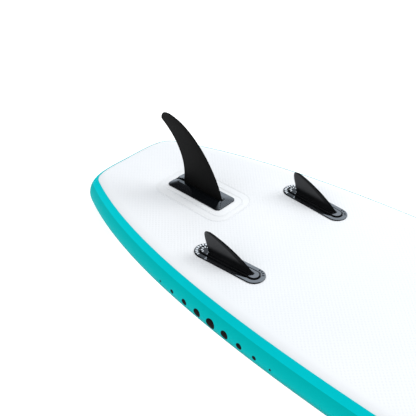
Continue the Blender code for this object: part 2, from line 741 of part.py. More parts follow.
grip_guide = bpy.data.objects.new("grip_axis", None)
parts.objects.link(grip_guide)
grip_guide.parent = handle_guide
grip_guide.location.z = GRIP_HEIGHT
bpy.ops.mesh.primitive_cube_add(size=1)
grip = bpy.context.object
grip.name = "handle_grip"
grip.data.transform(Matrix.Diagonal((0.112, 0.050, 0.021, 1)))
grip.data.materials.append(FOAM)
for collection in list(grip.users_collection):
    collection.objects.unlink(grip)
parts.objects.link(grip)
grip.parent = grip_guide
soft = grip.modifiers.new("soft edges", "BEVEL")
soft.width = 0.0085
soft.segments = 3
soft.affect = "EDGES"
bm = bmesh.new()
bmesh.ops.create_cube(bm, size=1)
bmesh.ops.transform(bm, matrix=Matrix.Diagonal((0.2, STRAP_WIDTH + 2 * GAP, STRAP + 2 * GAP, 1)), verts=bm.verts)
cut(grip, mesh_from(bm, "strap_way"), grip_guide)


# Inflation valve, through the deck near the nose

valve_guide = on_deck("valve_site", VALVE)
BODY = 0.022               # radius of the valve's threaded body
BORE = 0.016
FLANGE_TOP = 0.0040
SEAT = -0.0225             # the seat's inner face
HUB = 0.0045
STEM = 0.0019

hole = turned_mesh("valve_hole", [(0, 0.02), (BODY + 0.0008, 0.02), (BODY + 0.0008, -0.02), (0, -0.02)])
cut(deck_skin, hole, valve_guide)
valve_body = turned("valve_body", [
    (BORE, FLANGE_TOP), (0.0315, FLANGE_TOP), (0.032, 0.0032), (0.032, 0.0006), (BODY, 0.0006),
    (BODY, SEAT), (0.013, SEAT), (0.013, -0.0190), (BORE, -0.0180)], VALVE_GREY, valve_guide)


def spider():
    """The valve's hub on three arms, which guides the stem."""
    bm = bmesh.new()
    arm = rounded_rectangle(0.0130, 0.0022, 0.0005, 1, middle=(0.0100, 0))
    for k in range(3):
        turn = Matrix.Rotation(2 * pi * k / 3, 4, "Z")
        add_prism(bm, arm, -0.0165, -0.0135, turn)
    bmesh.ops.recalc_face_normals(bm, faces=bm.faces)
    return mesh_from(bm, "valve_arms")


hub = turned_mesh("valve_hub", [(STEM + GAP, -0.0120), (HUB, -0.0120), (HUB, -0.0175), (STEM + GAP, -0.0175)], 16)
join(valve_body, helper("valve_arms", spider(), valve_guide))
join(valve_body, helper("valve_hub", hub, valve_guide))
turned("valve_gasket", [(BODY + 0.0010, -0.0016), (0.031, -0.0016), (0.031, -0.0030),
                        (BODY + 0.0010, -0.0030)], SEAL, valve_guide)
turned("valve_nut", [(BODY + GAP, -0.0033), (0.030, -0.0033), (0.030, -0.0085), (BODY + GAP, -0.0085)],
       VALVE_GREY, valve_guide)
turned("valve_stem", [(0, -0.0005), (0.0046, -0.0005), (0.0052, -0.0012), (0.0052, -0.0030),
                      (STEM, -0.0034), (STEM, -0.0252), (0.0050, -0.0252), (0.0050, -0.0268),
                      (0, -0.0268)], VALVE_GREY, valve_guide, 16)
turned("valve_disc", [(STEM + GAP, SEAT - GAP), (0.0150, SEAT - GAP), (0.0150, -0.0248),
                      (STEM + GAP, -0.0248)], SEAL, valve_guide)
spring("valve_spring", 0.0033, 0.0004, -0.0117, -0.0037, 3.5, valve_guide)


def valve_cap():
    """The cap, with a plug that enters the body and a bar to turn it by."""
    cap = turned("valve_cap", [(0, 0.0086), (0.0285, 0.0084), (0.0305, 0.0070), (0.0305, 0.0056),
                               (BORE - 0.0006, 0.0056), (BORE - 0.0006, 0.0004),
                               (0.0130, 0.0004), (0.0130, 0.0056), (0, 0.0056)], VALVE_GREY, valve_guide)
    bm = bmesh.new()
    add_prism(bm, rounded_rectangle(0.044, 0.0070, 0.0034, 3), 0.0080, 0.0120)
    bmesh.ops.recalc_face_normals(bm, faces=bm.faces)
    return join(cap, helper("cap_bar", mesh_from(bm, "cap_bar"), valve_guide))


valve_cap()
turned("valve_cap_seal", [(0.0180, 0.0053), (0.0220, 0.0053), (0.0220, 0.0043), (0.0180, 0.0043)],
       SEAL, valve_guide)
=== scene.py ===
from math import atan, cos, pi, radians, sin, sqrt

import bmesh
import bpy
import numpy as np
from mathutils import Matrix, Vector


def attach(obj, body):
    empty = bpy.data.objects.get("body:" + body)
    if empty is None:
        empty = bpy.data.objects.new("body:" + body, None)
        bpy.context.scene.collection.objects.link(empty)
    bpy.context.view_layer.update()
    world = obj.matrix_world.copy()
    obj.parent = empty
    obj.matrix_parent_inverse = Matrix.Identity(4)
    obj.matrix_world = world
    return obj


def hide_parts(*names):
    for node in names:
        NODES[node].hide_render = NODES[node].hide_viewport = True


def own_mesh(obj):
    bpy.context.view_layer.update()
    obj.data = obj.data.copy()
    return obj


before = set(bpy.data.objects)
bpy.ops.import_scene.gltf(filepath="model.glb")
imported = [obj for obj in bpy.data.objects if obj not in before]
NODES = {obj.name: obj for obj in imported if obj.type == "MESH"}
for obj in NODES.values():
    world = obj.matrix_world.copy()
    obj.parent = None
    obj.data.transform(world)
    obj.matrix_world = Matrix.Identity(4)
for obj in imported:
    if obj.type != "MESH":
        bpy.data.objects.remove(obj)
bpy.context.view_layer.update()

# The studio: a white sweep of paper, a large soft light over the board's far side, and a camera
# over the tail. The camera is placed from the flat of the hull under the fins, which leans a
# little, because the board rests deck down on its tail and nose.
LENGTH = 3.05
WIDTH = 0.84
THICKNESS = 0.12
TAIL_SLOPE = 0.05
RAIL = THICKNESS / 2
EDGE = RAIL + 0.0015


def lowest(slope):
    """How far the round rail reaches below its flat edge, where the board slopes."""
    return RAIL * (1 - sqrt(1 + slope ** 2))


TAIL_LOW = TAIL_SLOPE * EDGE + lowest(TAIL_SLOPE)
LEAN = Matrix.Rotation(-atan(TAIL_SLOPE), 4, "Y")
HULL = Matrix.Translation((-LENGTH / 2, 0, THICKNESS - TAIL_LOW)) @ LEAN
CAMERA_TURN = radians(42.83)
CAMERA_RISE = radians(36.01)
CAMERA_BACK = 2.5808
CAMERA_LENS = 68.96
CAMERA_AIM = Vector((0.4544, -0.0483, 0))


def add_camera():
    """The camera, aimed at a point of the hull between the centre fin and the side fins."""
    level = cos(CAMERA_RISE)
    back = Vector((sin(CAMERA_TURN) * level, -cos(CAMERA_TURN) * level, sin(CAMERA_RISE)))
    right = Vector((cos(CAMERA_TURN), sin(CAMERA_TURN), 0))
    data = bpy.data.cameras.new("camera")
    data.sensor_width = 36
    data.lens = CAMERA_LENS
    camera = bpy.data.objects.new("camera", data)
    bpy.context.scene.collection.objects.link(camera)
    camera.location = HULL @ (CAMERA_AIM + back * CAMERA_BACK)
    facing = Matrix((right, back.cross(right), back)).transposed()
    camera.rotation_euler = (HULL.to_3x3() @ facing).to_euler()
    bpy.context.scene.camera = camera


def add_light(name, place, aim, size, power):
    """A square soft box, which lights the board but isn't mirrored in it."""
    data = bpy.data.lights.new(name, "AREA")
    data.size = size
    data.energy = power
    lamp = bpy.data.objects.new(name, data)
    bpy.context.scene.collection.objects.link(lamp)
    lamp.location = place
    lamp.visible_glossy = False
    lamp.rotation_euler = (Vector(aim) - Vector(place)).to_track_quat("-Z", "Y").to_euler()


add_camera()
add_light("key", (0.6, 2.6, 2.6), (-0.9, 0, 0.1), 2.2, 68)
add_light("fill", (-2.6, -2.4, 2.4), (-0.8, 0, 0.1), 2.6, 10)
bpy.context.scene.view_settings.view_transform = "Standard"


class Shade:
    """A socket in a material, on which sums and further nodes can be written."""

    def __init__(self, tree, socket=None):
        self.tree = tree
        self.socket = socket

    def node(self, kind, settings=None, inputs=None, output=0):
        """Adds a node: its settings are set first, then its sockets get values or links."""
        made = self.tree.nodes.new(kind)
        for name, value in (settings or {}).items():
            setattr(made, name, value)
        for key, value in (inputs or {}).items():
            if isinstance(value, Shade):
                self.tree.links.new(value.socket, made.inputs[key])
            else:
                made.inputs[key].default_value = value
        return Shade(self.tree, made.outputs[output])

    def math(self, operation, *values):
        """A sum, or another maths operation, on values and sockets."""
        return self.node("ShaderNodeMath", {"operation": operation}, dict(enumerate(values)))

    def __add__(self, other):
        return self.math("ADD", self, other)

    def __sub__(self, other):
        return self.math("SUBTRACT", self, other)

    def __rsub__(self, other):
        return self.math("SUBTRACT", other, self)

    def __mul__(self, other):
        return self.math("MULTIPLY", self, other)

    def __truediv__(self, other):
        return self.math("DIVIDE", self, other)

    def __lt__(self, other):
        return self.math("LESS_THAN", self, other)

    def __gt__(self, other):
        return self.math("GREATER_THAN", self, other)

    def fade(self, start, end):
        """0 below start, 1 above end, and smooth between them."""
        return self.node("ShaderNodeMapRange", {"interpolation_type": "SMOOTHSTEP"},
                         {"Value": self, "From Min": start, "From Max": end})

    def part(self, name):
        """One coordinate of a vector."""
        return self.node("ShaderNodeSeparateXYZ", {}, {0: self}, "XYZ".index(name))

    def mix(self, dark, light):
        """A colour between two, by this value."""
        colours = {6: dark if isinstance(dark, Shade) else (*dark, 1),
                   7: light if isinstance(light, Shade) else (*light, 1)}
        return self.node("ShaderNodeMix", {"data_type": "RGBA"}, {0: self, **colours}, 2)

    def noise(self, scale, detail=3.0):
        """Soft cloudy noise at these coordinates."""
        return self.node("ShaderNodeTexNoise", {},
                         {"Vector": self, "Scale": scale, "Detail": detail, "Roughness": 0.5})


def add_world():
    """A white room. Gloss sees its wall behind the board, and a dark card in front of the rest."""
    world = bpy.data.worlds.new("studio")
    bpy.context.scene.world = world
    world.use_nodes = True
    room = Shade(world.node_tree)
    towards = room.node("ShaderNodeTexCoord", output="Generated")
    wall = towards.part("Y").fade(0.22, 0.50).mix((0.03, 0.03, 0.035), (0.88, 1.0, 1.14))
    gloss = room.node("ShaderNodeLightPath", output="Is Glossy Ray")
    seen = gloss.mix((0.98, 0.99, 1.0), wall)
    background = world.node_tree.nodes["Background"]
    world.node_tree.links.new(seen.socket, background.inputs["Color"])
    background.inputs["Strength"].default_value = 0.85


add_world()


class Finish:
    """A new material, with its Principled shader and its coordinates."""

    def __init__(self, name, **fixed):
        self.material = bpy.data.materials.new(name)
        self.material.use_nodes = True
        tree = self.material.node_tree
        self.surface = tree.nodes["Principled BSDF"]
        self.start = Shade(tree)
        self.place = self.start.node("ShaderNodeTexCoord", output="Object")
        self.laid = self.start.node("ShaderNodeTexCoord", output="UV")
        for socket, value in fixed.items():
            self.surface.inputs[socket.replace("_", " ")].default_value = value

    def feed(self, socket, value):
        """Let a value drive one of the shader's sockets."""
        self.start.tree.links.new(value.socket, self.surface.inputs[socket])

    def cloudy(self, scale, dark, light):
        """A colour that drifts between two in soft clouds."""
        return self.place.noise(scale, 4).fade(0.3, 0.7).mix(dark, light)

    def bump(self, height, depth):
        """Relief: a height from 0 to 1, over a depth in metres."""
        relief = self.start.node("ShaderNodeBump", {}, {"Height": height, "Distance": depth})
        self.feed("Normal", relief)


def plain_finish(name, dark, light, clouds, roughness, grain, depth, **fixed):
    """A material with cloudy colour, uneven gloss and a fine grain."""
    made = Finish(name, **fixed)
    made.feed("Base Color", made.cloudy(clouds, dark, light))
    least, most = roughness
    made.feed("Roughness", made.place.noise(clouds * 3) * (most - least) + least)
    made.bump(made.place.noise(grain, 2), depth)
    return made.material


def dress(obj, material, body="board", slot=None):
    """Give a piece its material and the body that it rides on."""
    obj.data.materials.clear()
    obj.data.materials.append(material)
    if slot:
        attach(obj, body)


def clear_selection():
    """Nothing selected, in object mode."""
    if bpy.context.mode != "OBJECT":
        bpy.ops.object.mode_set(mode="OBJECT")
    bpy.ops.object.select_all(action="DESELECT")


paper = plain_finish("paper", (0.78, 0.78, 0.785), (0.80, 0.80, 0.805), 3, (0.85, 0.95), 300,
                     0.0001, Emission_Color=(1, 1, 1, 1), Emission_Strength=0.62)
clear_selection()
bpy.ops.mesh.primitive_plane_add(size=30, location=(0, 0, -0.0005))
floor = bpy.context.object
floor.name = "paper_floor"
dress(floor, paper)


# The hull skin: drop-stitch cloth coated in white PVC, pulled flat by the yarns behind it, which
# dimple it in a fine square grid. Its lip is smooth, rolls over the rail and goes under the tape.
FLAT_END = 1.0
WIDEST = 1.45
SKIN = 0.0012
ROW_BOW = 0.45
BOW_REACH = 0.6
DIMPLE_PITCH = 0.0097


def nose_bend():
    """How strongly the nose bends down, so that it touches the floor that the tail touches."""
    low, high = 0.0, 0.1
    run = LENGTH - EDGE - FLAT_END
    for _ in range(60):
        bend = (low + high) / 2
        slope = TAIL_SLOPE - 3 * bend * run ** 2
        if TAIL_SLOPE * (LENGTH - EDGE) - bend * run ** 3 + lowest(slope) > TAIL_LOW:
            low = bend
        else:
            high = bend
    return bend


NOSE_BEND = nose_bend()


def deck_height(x):
    """Height of the deck over the floor, at x from the tail."""
    return TAIL_SLOPE * x - NOSE_BEND * np.maximum(0, x - FLAT_END) ** 3 - TAIL_LOW


def bezier(points, count):
    """Points on a cubic curve."""
    t = np.linspace(0, 1, count)[:, None]
    p0, p1, p2, p3 = (np.array(p, float) for p in points)
    return (1 - t) ** 3 * p0 + 3 * (1 - t) ** 2 * t * p1 + 3 * (1 - t) * t ** 2 * p2 + t ** 3 * p3


def half_outline(count):
    """The flat panel's left edge from tail to nose: points, the way out, and the run so far.

    There is a point for every 30 mm of length or 3 degrees of bend.
    """
    corner = np.array([0.0823, 0.1530])
    turn = 0.456
    along = np.array([cos(turn), sin(turn)])
    half = WIDTH / 2 - EDGE
    end = LENGTH - EDGE
    tail = bezier(((EDGE, 0), (EDGE, 0.055), corner - 0.029 * along, corner), 200)
    side = bezier((corner, corner + 0.354 * along, (WIDEST - 0.546, half), (WIDEST, half)), 800)
    nose = bezier(((WIDEST, half), (WIDEST + 0.62, half), (end, 0.20), (end, 0)), 800)
    curve = np.concatenate([tail, side[1:], nose[1:]])
    heading = np.gradient(curve, axis=0)
    heading[0] = (0, 1)
    heading[-1] = (0, -1)
    angle = np.unwrap(np.arctan2(heading[:, 1], heading[:, 0]))
    length = np.linalg.norm(np.diff(curve, axis=0), axis=1)
    run = np.concatenate([[0], np.cumsum(length)])
    effort = np.concatenate([[0], np.cumsum(length / 0.03 + np.abs(np.diff(angle)) / radians(3))])
    even = np.linspace(0, effort[-1], count)
    angle = np.interp(even, effort, angle)
    points = np.stack([np.interp(even, effort, curve[:, k]) for k in range(2)], axis=1)
    return points, np.stack([-np.sin(angle), np.cos(angle)], axis=1), np.interp(even, effort, run)


STATIONS = 161
EDGE_LINE, WAY_OUT, EDGE_RUN = half_outline(STATIONS)


def rail_place(station, angle, radius, side):
    """A place on the round rail; angle 0 is at the hull and 180 at the deck."""
    reach = radius * np.sin(np.radians(angle))
    flat = EDGE_LINE[station] + WAY_OUT[station] * reach[:, None]
    z = RAIL + radius * np.cos(np.radians(angle)) + deck_height(flat[:, 0])
    return np.stack([flat[:, 0] - LENGTH / 2, side * flat[:, 1], z], axis=1)


def grid(name, along, across):
    """A grid of quads, with the step that each vertex is at along it and across it."""
    clear_selection()
    bpy.ops.mesh.primitive_grid_add(x_subdivisions=along, y_subdivisions=across, size=1)
    obj = bpy.context.object
    obj.name = name
    flat = np.empty(3 * len(obj.data.vertices))
    obj.data.vertices.foreach_get("co", flat)
    steps = np.rint((flat.reshape(-1, 3)[:, :2] + 0.5) * (along, across)).astype(int)
    return obj, steps[:, 0], steps[:, 1]


def lay_out(obj, places, chart):
    """Move a grid's vertices to their places, and chart them in its UV map in metres."""
    obj.data.vertices.foreach_set("co", np.asarray(places).ravel())
    corners = np.empty(len(obj.data.loops), int)
    obj.data.loops.foreach_get("vertex_index", corners)
    obj.data.uv_layers.active.data.foreach_set("uv", np.asarray(chart)[corners].ravel())
    obj.data.update()


def pick(obj, kind, rule):
    """In edit mode, select only the faces or edges that a rule chooses."""
    bpy.ops.mesh.select_mode(type=kind)
    bpy.ops.mesh.select_all(action="DESELECT")
    mesh = bmesh.from_edit_mesh(obj.data)
    for item in mesh.faces if kind == "FACE" else mesh.edges:
        if rule(item):
            item.select_set(True)
    bmesh.update_edit_mesh(obj.data)


def hold(obj):
    """Make one piece the only one that the operators work on."""
    clear_selection()
    bpy.context.view_layer.objects.active = obj
    obj.select_set(True)


def edit(obj, *steps):
    """Work in edit mode on one piece: each step is an operator, or a kind and a rule to pick by."""
    hold(obj)
    bpy.ops.object.mode_set(mode="EDIT")
    bpy.ops.mesh.select_all(action="SELECT")
    for what, how in steps:
        if isinstance(what, str):
            pick(obj, what, how)
        else:
            what(**how)
    bpy.ops.object.mode_set(mode="OBJECT")


def merge(obj, distance=1e-5):
    """Close seams and poles."""
    edit(obj, (bpy.ops.mesh.remove_doubles, {"threshold": distance}))


def face_outwards(obj, way):
    """Turn an open surface so that its faces look the way that a rule gives at their middles."""
    edit(obj, (bpy.ops.mesh.normals_make_consistent, {"inside": False}))
    total = sum(face.normal.dot(way(face.center)) * face.area for face in obj.data.polygons)
    if total < 0:
        edit(obj, (bpy.ops.mesh.flip_normals, {}))


def finish_with(obj, kind, **settings):
    """Add a modifier and apply it."""
    hold(obj)
    modifier = obj.modifiers.new(kind.lower(), kind)
    for name, value in settings.items():
        setattr(modifier, name, value)
    bpy.ops.object.modifier_apply(modifier=modifier.name)


def smooth(obj, angle=40):
    """Smooth shading, with creases where the faces turn sharply."""
    hold(obj)
    bpy.ops.object.shade_smooth_by_angle(angle=radians(angle))


def from_core(place):
    """Away from the line through the board's middle."""
    x = min(max(place.x, 0.1 - LENGTH / 2), LENGTH / 2 - 0.1)
    core = Vector((x, 0, deck_height(x + LENGTH / 2) + RAIL))
    return (place - core).normalized()


def skin(name, angles, flat_angle):
    """A skin: a lip over each rail, and the flat panel between them.

    The panel's rows bow inwards at the tail and the nose, where the edge runs across the board.
    """
    panel = 28
    lip = len(angles)
    across = 2 * lip + panel - 1
    obj, station, step = grid(name, STATIONS - 1, across)
    lips = np.concatenate([angles, angles[::-1]])
    is_panel = (step >= lip) & (step < lip + panel)
    lip_step = np.where(step < lip, step, step - panel) % (2 * lip)
    side = np.where(step < lip + panel / 2, 1, -1)
    on_lip = rail_place(station, lips[lip_step], RAIL, side)
    share = 1 - 2 * (step - lip + 1) / (panel + 1)
    edge = EDGE_LINE[station]
    at_tail = np.maximum(0, 1 - edge[:, 0] / BOW_REACH)
    at_nose = np.maximum(0, 1 - (LENGTH - edge[:, 0]) / BOW_REACH)
    x = edge[:, 0] + ROW_BOW * edge[:, 1] * (at_tail - at_nose) * (1 - share ** 2)
    z = RAIL + RAIL * cos(radians(flat_angle)) + deck_height(x)
    across_panel = np.stack([x - LENGTH / 2, edge[:, 1] * share, z], axis=1)
    places = np.where(is_panel[:, None], across_panel, on_lip)
    beyond = RAIL * np.abs(np.radians(lips[lip_step] - flat_angle))
    depth = (1 - np.abs(share)) * np.abs(edge[:, 1])
    chart = np.stack([EDGE_RUN[station], np.where(is_panel, depth, -beyond)], axis=1)
    lay_out(obj, places, chart)
    merge(obj)
    face_outwards(obj, from_core)
    finish_with(obj, "SOLIDIFY", thickness=SKIN, offset=-1)
    smooth(obj)
    return obj


def drop_stitch(name, dark, light):
    """Coated cloth: dimpled in a grid on the flat panel, and smooth on the lip."""
    made = Finish(name, Specular_IOR_Level=0.45)
    turn = 2 * pi / DIMPLE_PITCH * sqrt(0.5)
    x, y = made.place.part("X") * turn, made.place.part("Y") * turn
    rows = [made.start.math("COSINE", slant) * 0.5 + 0.5 for slant in (x + y, x - y)]
    dimple = rows[0] * rows[1]
    inside = made.laid.part("Y").fade(-0.006, 0.010)
    cloud = made.place.noise(2.2, 4)
    clean = cloud.fade(0.25, 0.75).mix(dark, light)
    shadow = dimple * inside * 0.10
    made.feed("Base Color", shadow.mix(clean, (0.55, 0.58, 0.62)))
    grain = made.place.noise(900, 2)
    made.feed("Roughness", grain * 0.12 + 0.36)
    made.bump((1 - dimple) * inside + grain * 0.06, 0.00045)
    return made.material


hull_white = drop_stitch("hull_white", (0.86, 0.89, 0.92), (0.90, 0.92, 0.945))
hull = skin("hull_panel", np.array([39.5, 33, 27, 21, 15, 10, 5, 0]), 0)
dress(hull, hull_white, slot="hull_skin")
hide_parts("hull_skin")


# The deck skin: the same cloth on the board's underside, which is its deck, painted darker than
# the hull's as painted shade. It is bonded over the rails like the hull skin, and has a hole for
# the valve near the nose.
VALVE = 2.76
VALVE_HOLE = 0.0228


def deck_site(x, y=0.0, turn=0.0):
    """A place on the deck, with +Z out of the deck."""
    slope = TAIL_SLOPE - 3 * NOSE_BEND * max(0, x - FLAT_END) ** 2
    lean = Matrix.Rotation(-atan(slope), 4, "Y")
    over = Matrix.Rotation(pi, 4, "X") @ Matrix.Rotation(turn, 4, "Z")
    return Matrix.Translation((x - LENGTH / 2, y, float(deck_height(x)))) @ lean @ over


def subtract(obj, cutter):
    """Cut one piece with another, which is then removed."""
    finish_with(obj, "BOOLEAN", operation="DIFFERENCE", solver="EXACT", object=cutter)
    bpy.data.objects.remove(cutter, do_unlink=True)


def rod(radius, low, high, matrix, steps=32):
    """A plain cylinder for cutting with."""
    clear_selection()
    bpy.ops.mesh.primitive_cylinder_add(vertices=steps, radius=radius, depth=high - low,
                                        location=(0, 0, (low + high) / 2))
    obj = bpy.context.object
    bpy.ops.object.transform_apply(location=True)
    obj.data.transform(matrix)
    return obj


# Painted shade: the deck's copy of the cloth is painted darker than the hull's, on the side that faces
# the floor.
deck_white = drop_stitch("deck_white", (0.80, 0.82, 0.84), (0.85, 0.865, 0.88))
deck = skin("deck_panel", np.array([135.5, 141, 147, 153, 160, 168, 174, 180.0]), 180)
subtract(deck, rod(VALVE_HOLE, -0.02, 0.02, deck_site(VALVE), 48))
dress(deck, deck_white, slot="deck_skin")
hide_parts("deck_skin")


# The rail: strips of teal PVC tape bonded over the sidewalls, from the tail's middle to the
# nose's. It is darker below a lap line, where it has a printed row of dark dots beside the side
# fins, and below the lap it is painted darker still towards the deck as painted shade. Angles go
# round the rail, from 0 at the hull to 180 at the deck. The sidewalls are hidden.
TAPE = 0.0012
TAPE_END = 150
LAP_ANGLE = 53
DOT_PITCH = 0.0575
DOT_LARGEST = 0.0350
DOT_MIDDLE = 0.779
DOT_ANGLE = 92
DOTS_TO_NOTHING = 5.1


def tape(name, side, angles):
    """One side's strip of tape. Its ends stop just short of the board's middle line."""
    obj, station, step = grid(name, STATIONS - 1, len(angles) - 1)
    places = rail_place(station, angles[step], EDGE, side)
    places[:, 1] = side * np.maximum(side * places[:, 1], 0.0005)
    lay_out(obj, places, np.stack([EDGE_RUN[station], np.radians(angles[step]) * RAIL], axis=1))
    merge(obj)
    face_outwards(obj, from_core)
    finish_with(obj, "SOLIDIFY", thickness=TAPE, offset=-1)
    smooth(obj)
    return obj


def teal_tape():
    """Teal PVC with a lap line along it, and dots that get smaller away from the middle one."""
    made = Finish("rail_teal", Specular_IOR_Level=0.01)
    run = made.laid.part("X")
    girth = made.laid.part("Y")
    past_tail = slice(20, None)
    outermost = EDGE_LINE[past_tail, 0] + WAY_OUT[past_tail, 0] * EDGE
    middle = float(np.interp(DOT_MIDDLE, outermost, EDGE_RUN[past_tail]))
    steps = (run - middle) / DOT_PITCH
    nearest = made.start.math("ROUND", steps)
    count = made.start.math("ABSOLUTE", nearest)
    size = (DOTS_TO_NOTHING - count) * (DOT_LARGEST / 2 / DOTS_TO_NOTHING)
    aside = (steps - nearest) * DOT_PITCH
    above = girth - radians(DOT_ANGLE) * RAIL
    distance = made.start.math("SQRT", aside * aside + above * above)
    dot = (1 - (distance - size).fade(-0.0004, 0.0004)) * (count < 4.5)
    teal = made.cloudy(3.5, (0.0, 0.535, 0.585), (0.0, 0.585, 0.640))
    low = (girth - radians(LAP_ANGLE) * RAIL).fade(-0.0003, 0.0003)
    # Painted shade: below the lap, the tape is painted darker towards the deck.
    painted_deck_shade = girth.fade(radians(90) * RAIL, radians(126) * RAIL)
    teal = low.mix(teal, painted_deck_shade.mix((0.0, 0.43, 0.435), (0.0, 0.24, 0.225)))
    made.feed("Base Color", dot.mix(teal, (0.006, 0.005, 0.0045)))
    grain = made.place.noise(1200, 2)
    made.feed("Roughness", grain * 0.10 + 0.36)
    made.bump(low * -0.5 + 0.5 + grain * 0.08, 0.0004)
    return made.material


rail_teal = teal_tape()
for side_name, side, start in (("left", 1, 36), ("right", -1, 30)):
    rail = tape("rail_" + side_name, side, np.linspace(start, TAPE_END, 25))
    dress(rail, rail_teal, slot="rail_tape")
    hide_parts("rail_tape_" + side_name)

sidewall = plain_finish("sidewall_teal", (0.0, 0.36, 0.37), (0.0, 0.40, 0.41), 4, (0.4, 0.5), 900,
                        0.00005)
for side_name in ("left", "right"):
    dress(NODES["sidewall_" + side_name], sidewall)


# The drop-stitch core: polyester yarns and their backing cloths, woven into both skins to hold
# them apart. It is hidden in the board and keeps its CAD shape.
yarn = plain_finish("yarn", (0.72, 0.72, 0.70), (0.80, 0.80, 0.78), 30, (0.8, 0.95), 1500, 0.0002)
dress(NODES["drop_stitch_core"], yarn)


# The deck pads: sheets of grey foam, 4 mm thick, cut with crossing grooves for grip and glued
# to the deck, with a gap along the middle that widens round the carry handle.
PAD = 0.004
GLUE = 0.0003
PAD_MARGIN = 0.035
PAD_START = 0.32
PAD_SPLIT = 1.90
PAD_END = 2.08
PAD_GAP = 0.003
HANDLE = 1.45
GAP_REACH = 0.24
GAP_NARROW = 0.002
GAP_WIDE = 0.085


def soften(obj, width, segments=3, angle=30):
    """Round a piece's sharp edges."""
    finish_with(obj, "BEVEL", width=width, segments=segments, limit_method="ANGLE",
                angle_limit=radians(angle))
    return obj


def pad(name, stations, inner=None, side=0):
    """A sheet of foam on the deck, with rows at these stations; side 0 is the full width."""
    across = 10 if side else 20
    obj, row, step = grid(name, len(stations) - 1, across)
    x = stations[row]
    outer = np.interp(x, EDGE_LINE[:, 0], EDGE_LINE[:, 1]) - PAD_MARGIN
    share = step / across
    y = side * (inner(x) * (1 - share) + outer * share) if side else outer * (2 * share - 1)
    z = deck_height(x) - GLUE
    lay_out(obj, np.stack([x - LENGTH / 2, y, z], axis=1), np.stack([x, y], axis=1))
    face_outwards(obj, from_core)
    finish_with(obj, "SOLIDIFY", thickness=PAD, offset=1)
    soften(obj, 0.0012, 2, 60)
    smooth(obj)
    return obj


def round_the_handle(x):
    """Inner edge of the middle pads: a narrow gap, wider round the handle."""
    aside = np.minimum(1, np.abs(x - HANDLE) / GAP_REACH)
    return GAP_NARROW + GAP_WIDE * np.sqrt(np.maximum(0, 1 - aside ** 4))


def foam_pad():
    """Grey foam with a diamond of grooves in painted shade, and a fine cell grain."""
    made = Finish("pad_foam", Specular_IOR_Level=0.3)
    x, y = made.place.part("X"), made.place.part("Y")
    beats = [made.start.math("PINGPONG", slant, 0.012) for slant in (x + y * 0.6, x - y * 0.6)]
    groove = made.start.math("MAXIMUM", *(1 - beat.fade(0.0006, 0.0016) for beat in beats))
    grey = made.cloudy(6, (0.150, 0.165, 0.180), (0.175, 0.190, 0.205))
    # Painted shade: the grooves are painted darker than the foam around them.
    made.feed("Base Color", groove.mix(grey, (0.055, 0.060, 0.066)))
    grain = made.place.noise(1400, 2)
    made.feed("Roughness", grain * 0.15 + 0.76)
    made.bump((1 - groove) + grain * 0.12, 0.0012)
    return made.material


pad_foam = foam_pad()
middle_start = FLAT_END - 0.001 + PAD_GAP
by_the_handle = np.concatenate([np.linspace(middle_start, HANDLE - GAP_REACH, 14)[:-1],
                                HANDLE + GAP_REACH * np.sin(np.linspace(-pi / 2, pi / 2, 61)),
                                np.linspace(HANDLE + GAP_REACH, PAD_SPLIT, 14)[1:]])
pads = [pad("foam_pad_rear", np.linspace(PAD_START, FLAT_END - 0.001, 35)),
        pad("foam_pad_front", np.linspace(PAD_SPLIT + PAD_GAP, PAD_END, 10))]
for side_name, side in (("left", 1), ("right", -1)):
    pads.append(pad("foam_pad_" + side_name, by_the_handle, round_the_handle, side))
stands_for = ("rear_pad", "front_pad", "middle_pad_left", "middle_pad_right")
for foam, node in zip(pads, stands_for):
    dress(foam, pad_foam, slot="deck_pad")
    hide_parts(node)


# The fin box's patches: two sheets of white PVC, one on the other, glued to the hull. A weld
# line runs round each, a little inside its edge.
def block(name, size, middle, corner, steps=10):
    """A block, with its upright corners rounded."""
    clear_selection()
    bpy.ops.mesh.primitive_cube_add(size=1, location=middle, scale=size)
    obj = bpy.context.object
    obj.name = name
    bpy.ops.object.transform_apply(location=True, rotation=False, scale=True)
    if corner:
        edit(obj, ("EDGE", lambda e: abs(e.verts[0].co.z - e.verts[1].co.z) > 0.5 * size[2]),
             (bpy.ops.mesh.bevel, {"offset": corner, "segments": steps, "affect": "EDGES"}))
        merge(obj, 1e-6)
    return obj


def top_face(obj):
    """A rule that picks the highest flat face."""
    high = max(vertex.co.z for vertex in obj.data.vertices)
    return lambda face: face.normal.z > 0.99 and face.calc_center_median().z > high - 1e-6


def terrace(obj, *levels):
    """Step a block's top face inwards and up or down, once for each (inset, rise)."""
    steps = [(bpy.ops.mesh.inset, {"thickness": inset, "depth": rise, "use_even_offset": True})
             for inset, rise in levels]
    edit(obj, ("FACE", top_face(obj)), *steps)
    return obj


def set_down(obj, place, crease=40):
    """Move a finished shape to its place, and shade it smooth."""
    obj.data.transform(place)
    smooth(obj, crease)
    return obj


def white_patch():
    """Smooth white PVC."""
    made = Finish("patch_white", Specular_IOR_Level=0.45)
    made.feed("Base Color", made.cloudy(3, (0.84, 0.865, 0.89), (0.88, 0.90, 0.92)))
    grain = made.place.noise(700, 2)
    made.feed("Roughness", grain * 0.10 + 0.40)
    made.bump(grain, 0.00006)
    return made.material


patch_white = white_patch()
for name, size, x, low, corner in (("outer", (0.317, 0.188), 0.3865, GLUE, 0.055),
                                   ("inner", (0.275, 0.132), 0.3875, 0.0014, 0.034)):
    patch = block("hull_patch_" + name, (*size, 0.0008), (x, 0, low + 0.0004), corner)
    terrace(patch, (0.0008, 0.0), (0.0035, 0.0), (0.0008, -0.0004), (0.0014, 0.0), (0.0008, 0.0004))
    soften(patch, 0.0003, 2, 50)
    set_down(patch, HULL)
    dress(patch, patch_white, slot="white_patch")
    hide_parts("fin_box_" + name + "_patch")


